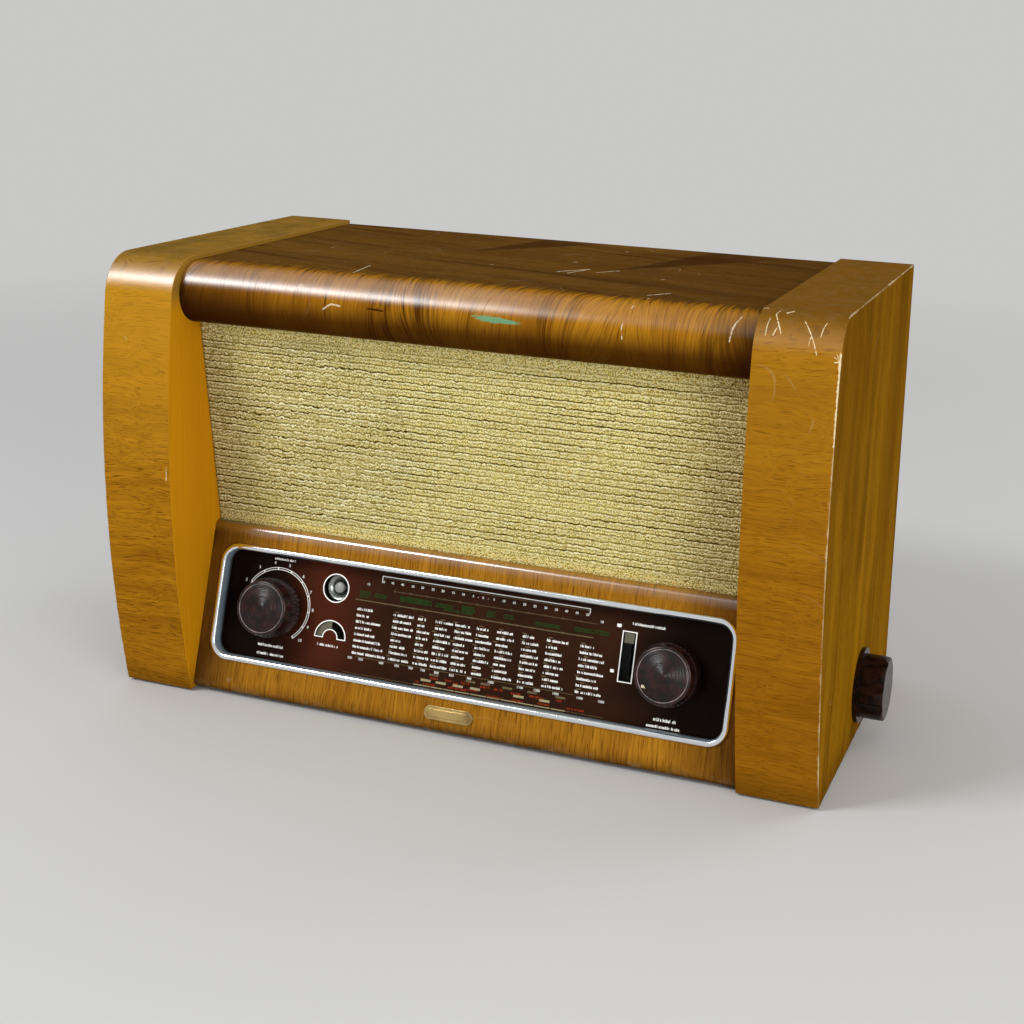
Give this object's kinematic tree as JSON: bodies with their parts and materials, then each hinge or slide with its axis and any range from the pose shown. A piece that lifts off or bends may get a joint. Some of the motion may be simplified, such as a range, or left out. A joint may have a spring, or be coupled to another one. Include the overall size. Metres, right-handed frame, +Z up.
{
  "type": "table radio receiver",
  "caption": "Wooden table radio with rounded cheeks, rolled top edge, cloth front, sloping glass dial in a metal bezel, magic eye, knobs and valve chassis.",
  "frame": {"origin": "under the middle of the whole set, on the surface that it stands on", "axes": "+X to the listener's right as they face the set, +Y to the back, +Z up"},
  "size_m": [0.636, 0.312, 0.366],
  "materials": {
    "cheek_veneer": "glossy varnish",
    "top_veneer": "glossy varnish",
    "panel_veneer": "glossy varnish",
    "bare_wood": "matte",
    "felt": "matte",
    "badge_brass": "satin",
    "cloth": "woven",
    "bezel_chrome": "polished",
    "dial_printed_glass": "glossy",
    "box_paint": "satin",
    "lamp_glass": "clear",
    "valve_glass": "clear",
    "zinc_steel": "satin",
    "ivory_plastic": "satin",
    "pointer_red": "satin",
    "cord": "matte",
    "aluminium": "satin",
    "brass": "satin",
    "front_bakelite": "glossy",
    "side_bakelite": "glossy",
    "control_plastic": "satin",
    "laminate_board": "satin",
    "chassis_steel": "satin",
    "rubber": "matte",
    "core_iron": "varnished",
    "basket_paint": "satin",
    "cone_paper": "matte",
    "back_card": "matte"
  },
  "bodies": {
    "cabinet": {"cheek_left": "cheek_veneer", "cheek_right": "cheek_veneer", "top_panel": "top_veneer", "roll_core": "bare_wood", "bottom_board": "bare_wood", "felt_feet": "felt", "back_battens": "bare_wood", "dial_panel": "panel_veneer", "badge_plate": "badge_brass", "baffle_board": "bare_wood", "grille_cloth": "cloth", "dial_bezel": "bezel_chrome", "dial_glass": "dial_printed_glass", "light_box": "box_paint", "dial_lamps": "lamp_glass", "magic_eye": "valve_glass", "eye_clamp": "zinc_steel", "drive_brackets": "zinc_steel", "pointer_rail": "zinc_steel", "dial_cord": "cord", "capacitor_frame": "zinc_steel", "capacitor_bracket": "zinc_steel", "tuning_bush": "brass", "volume_control": "control_plastic", "band_switch": "laminate_board", "flag_guide": "zinc_steel", "tone_control": "control_plastic", "chassis": "chassis_steel", "chassis_bushes": "rubber", "chassis_screws": "zinc_steel", "mains_transformer": "core_iron", "output_transformer": "core_iron", "valve_sockets": "laminate_board", "valves": "valve_glass", "screening_cans": "aluminium", "smoothing_capacitor": "aluminium", "coils_and_tags": "laminate_board", "speaker_basket": "basket_paint", "speaker_magnet": "core_iron", "back_cover": "back_card", "terminal_strip": "laminate_board"},
    "volume_pull": {"volume_plunger": "brass"},
    "volume_turn": {"volume_shaft": "zinc_steel", "volume_knob": "front_bakelite"},
    "tuning_push": {"tuning_plunger": "brass"},
    "tuning_turn": {"tuning_shaft": "zinc_steel", "tuning_knob": "front_bakelite"},
    "pointer_slide": {"pointer_carriage": "ivory_plastic", "pointer": "pointer_red"},
    "drum": {"cord_drum": "aluminium", "capacitor_rotor": "zinc_steel"},
    "idler_left": {"idler_left": "ivory_plastic"},
    "idler_right": {"idler_right": "ivory_plastic"},
    "band_turn": {"band_knob": "side_bakelite", "band_shaft": "zinc_steel"},
    "band_flag": {"band_flag": "ivory_plastic"},
    "tone_turn": {"tone_knob": "side_bakelite", "tone_shaft": "zinc_steel"},
    "tone_flag": {"tone_flag": "ivory_plastic"},
    "cone": {"speaker_cone": "cone_paper"}
  },
  "joints": [
    {"name": "volume_pull", "type": "slide", "parent": "cabinet", "child": "volume_pull", "axis": [0, -0.9603, 0.279], "range_m": [0, 0.005]},
    {"name": "volume_turn", "type": "hinge", "parent": "volume_pull", "child": "volume_turn", "pos_m": [-0.171, -0.10394, 0.07598], "axis": [0, 0.9603, -0.279], "range_deg": [0, 300]},
    {"name": "tuning_push", "type": "slide", "parent": "cabinet", "child": "tuning_push", "axis": [0, 0.9603, -0.279], "range_m": [0, 0.002], "stiffness_N_per_m": 500, "springref_m": -0.0015},
    {"name": "tuning_turn", "type": "hinge", "parent": "tuning_push", "child": "tuning_turn", "pos_m": [0.171, -0.10394, 0.07598], "axis": [0, 0.9603, -0.279], "range_deg": [-1289, 1289]},
    {"name": "pointer_slide", "type": "slide", "parent": "cabinet", "child": "pointer_slide", "axis": [1, 0, 0], "range_m": [-0.09, 0.09]},
    {"name": "drum_turn", "type": "hinge", "parent": "cabinet", "child": "drum", "pos_m": [0.008, -0.06275, 0.07438], "axis": [0, 0.9603, -0.279], "range_deg": [-90, 90]},
    {"name": "idler_left_turn", "type": "hinge", "parent": "cabinet", "child": "idler_left", "pos_m": [-0.106, -0.04782, 0.12575], "axis": [0, 0.9603, -0.279], "range_deg": [-645, 645]},
    {"name": "idler_right_turn", "type": "hinge", "parent": "cabinet", "child": "idler_right", "pos_m": [0.122, -0.04782, 0.12575], "axis": [0, 0.9603, -0.279], "range_deg": [-645, 645]},
    {"name": "band_turn", "type": "hinge", "parent": "cabinet", "child": "band_turn", "pos_m": [0, 0.018, 0.044], "axis": [1, 0, 0], "range_deg": [0, 90]},
    {"name": "band_flag_slide", "type": "slide", "parent": "cabinet", "child": "band_flag", "axis": [0, -0.279, -0.9603], "range_m": [0, 0.027]},
    {"name": "tone_turn", "type": "hinge", "parent": "cabinet", "child": "tone_turn", "pos_m": [0, 0.018, 0.044], "axis": [1, 0, 0], "range_deg": [0, 270]},
    {"name": "tone_flag_turn", "type": "hinge", "parent": "cabinet", "child": "tone_flag", "pos_m": [-0.1195, -0.10882, 0.05918], "axis": [0, 0.9603, -0.279], "range_deg": [0, 90]},
    {"name": "cone_travel", "type": "slide", "parent": "cabinet", "child": "cone", "axis": [0, -0.9857, -0.1685], "range_m": [-0.0005, 0.0005], "stiffness_N_per_m": 1500}
  ],
  "couplings": [
    {"joint": "pointer_slide", "follows": "tuning_turn", "m_per_rad": 0.004},
    {"joint": "drum_turn", "follows": "tuning_turn", "ratio": 0.069813},
    {"joint": "idler_left_turn", "follows": "tuning_turn", "ratio": 0.5},
    {"joint": "idler_right_turn", "follows": "tuning_turn", "ratio": 0.5},
    {"joint": "band_flag_slide", "follows": "band_turn", "m_per_rad": 0.017188},
    {"joint": "tone_flag_turn", "follows": "tone_turn", "ratio": 0.33333}
  ]
}
